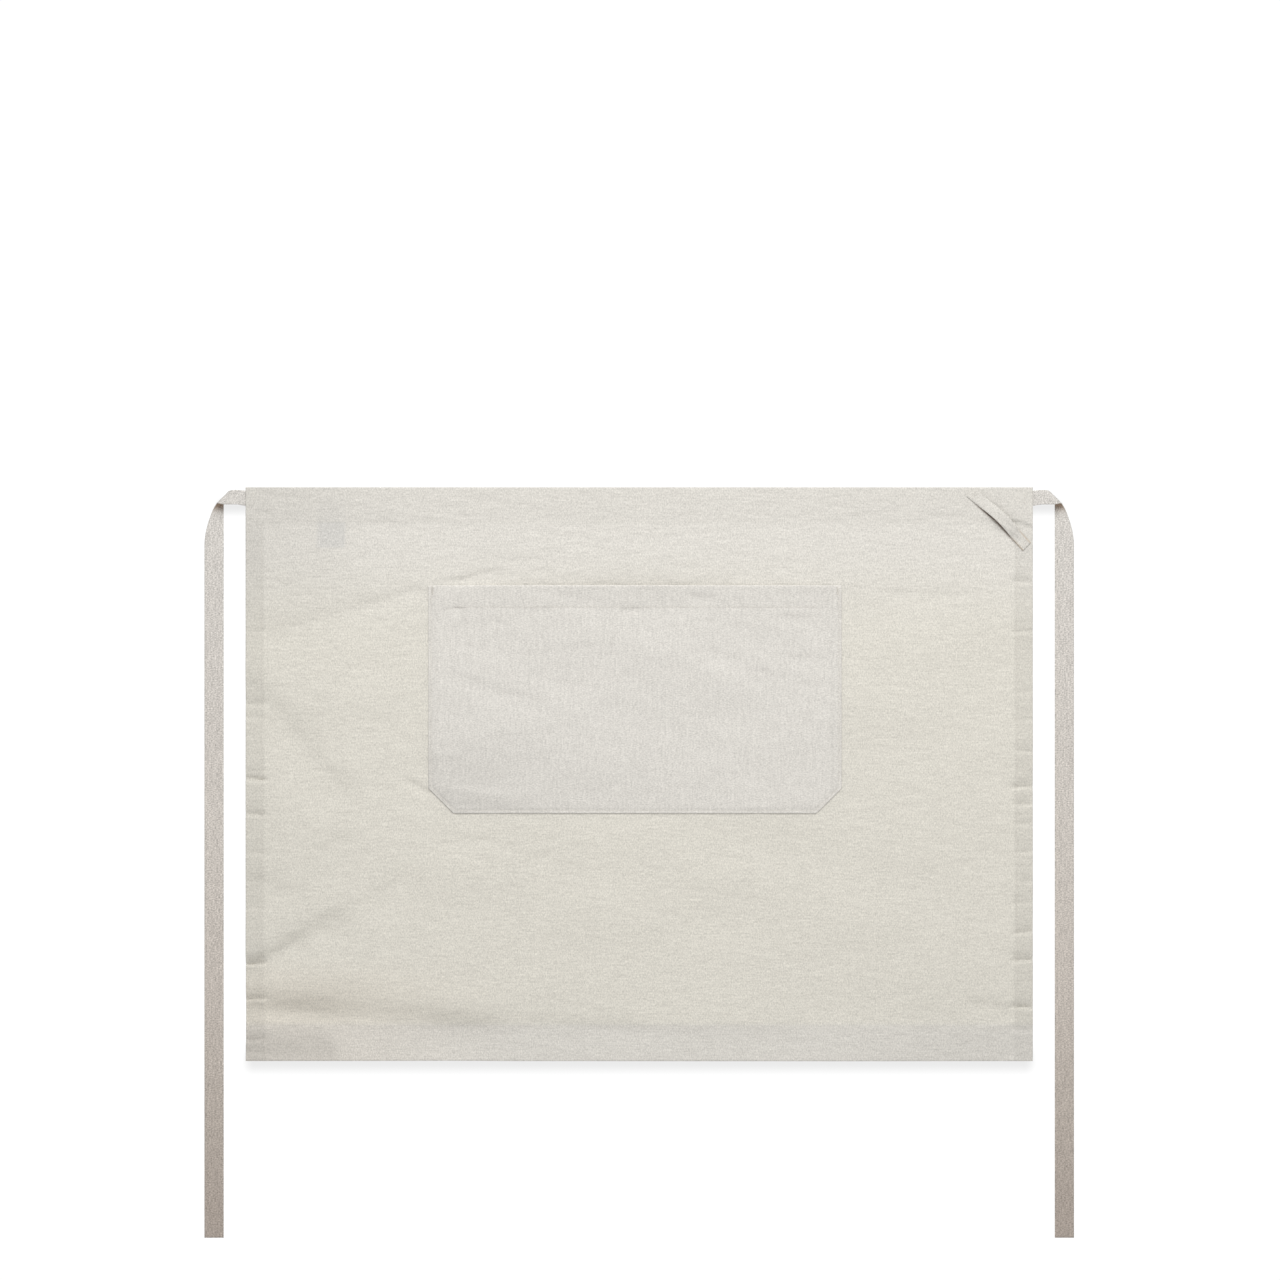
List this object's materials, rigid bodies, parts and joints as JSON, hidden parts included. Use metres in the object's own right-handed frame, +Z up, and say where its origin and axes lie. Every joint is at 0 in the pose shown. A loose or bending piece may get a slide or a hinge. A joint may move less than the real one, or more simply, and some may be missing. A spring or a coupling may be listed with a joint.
{
  "type": "waist apron",
  "caption": "Linen waist apron with a wide patch pocket, folded side ties, a corner hanging loop and a care label on the back.",
  "frame": {"origin": "middle of the top hem's rear face, halfway along the waistband and halfway down the hem", "axes": "+X to the viewer's right along the waistband, +Y backwards towards the wearer, +Z up"},
  "size_m": [0.8852, 0.0196, 0.7637],
  "materials": {
    "linen_panel": "washed natural linen, matt",
    "linen_hem": "washed natural linen, several layers thick, matt",
    "linen_pocket": "washed natural linen, matt",
    "linen_tie": "folded linen strip, matt",
    "linen_loop": "folded linen strip, matt",
    "sewing_thread": "spun thread",
    "label_tape": "plain woven satin tape, blank"
  },
  "bodies": {
    "waistband": {"upper_panel": "linen_panel", "top_hem": "linen_hem", "top_hem_seam": "sewing_thread", "left_upper_side_hem": "linen_hem", "right_upper_side_hem": "linen_hem", "left_tie_fold": "linen_tie", "right_tie_fold": "linen_tie", "left_tie_stitch": "sewing_thread", "right_tie_stitch": "sewing_thread", "loop_upper_end": "linen_loop", "loop_lower_end": "linen_loop", "loop_upper_stitch": "sewing_thread", "loop_lower_stitch": "sewing_thread"},
    "skirt": {"skirt_panel": "linen_panel", "bottom_hem": "linen_hem", "left_side_hem": "linen_hem", "right_side_hem": "linen_hem", "left_side_seam": "sewing_thread", "right_side_seam": "sewing_thread", "bottom_hem_seam": "sewing_thread", "pocket_edge": "linen_pocket", "pocket_seam": "sewing_thread", "left_pocket_bar_tack": "sewing_thread", "right_pocket_bar_tack": "sewing_thread"},
    "pocket": {"pocket_leaf": "linen_pocket", "pocket_mouth_hem": "linen_hem", "pocket_mouth_seam": "sewing_thread"},
    "loop": {"hanging_loop": "linen_loop"},
    "label": {"care_label": "label_tape"},
    "left_tie": {"left_tie_tail": "linen_tie"},
    "right_tie": {"right_tie_tail": "linen_tie"}
  },
  "joints": [
    {"name": "skirt_swing", "type": "hinge", "parent": "waistband", "child": "skirt", "pos_m": [0, -0.0012, -0.052], "axis": [-1, 0, 0], "range_deg": [-10, 70]},
    {"name": "pocket_opening", "type": "hinge", "parent": "skirt", "child": "pocket", "pos_m": [-0.0043, -0.0021, -0.3066], "axis": [1, 0, 0], "range_deg": [0, 8], "stiffness_Nm_per_rad": 0.3},
    {"name": "loop_flop", "type": "hinge", "parent": "waistband", "child": "loop", "pos_m": [0.36545, -0.0021, -0.01425], "axis": [0.7183, 0, -0.6957], "range_deg": [-25, 25], "stiffness_Nm_per_rad": 0.005},
    {"name": "label_lift", "type": "hinge", "parent": "waistband", "child": "label", "pos_m": [-0.3127, 0.00065, -0.0186], "axis": [1, 0, 0], "range_deg": [0, 150]},
    {"name": "left_tie_swing", "type": "hinge", "parent": "waistband", "child": "left_tie", "pos_m": [-0.4332, 0.0088, -0.05], "axis": [1, 0, 0], "range_deg": [-90, 90]},
    {"name": "right_tie_swing", "type": "hinge", "parent": "waistband", "child": "right_tie", "pos_m": [0.4332, 0.0088, -0.05], "axis": [1, 0, 0], "range_deg": [-90, 90]}
  ]
}
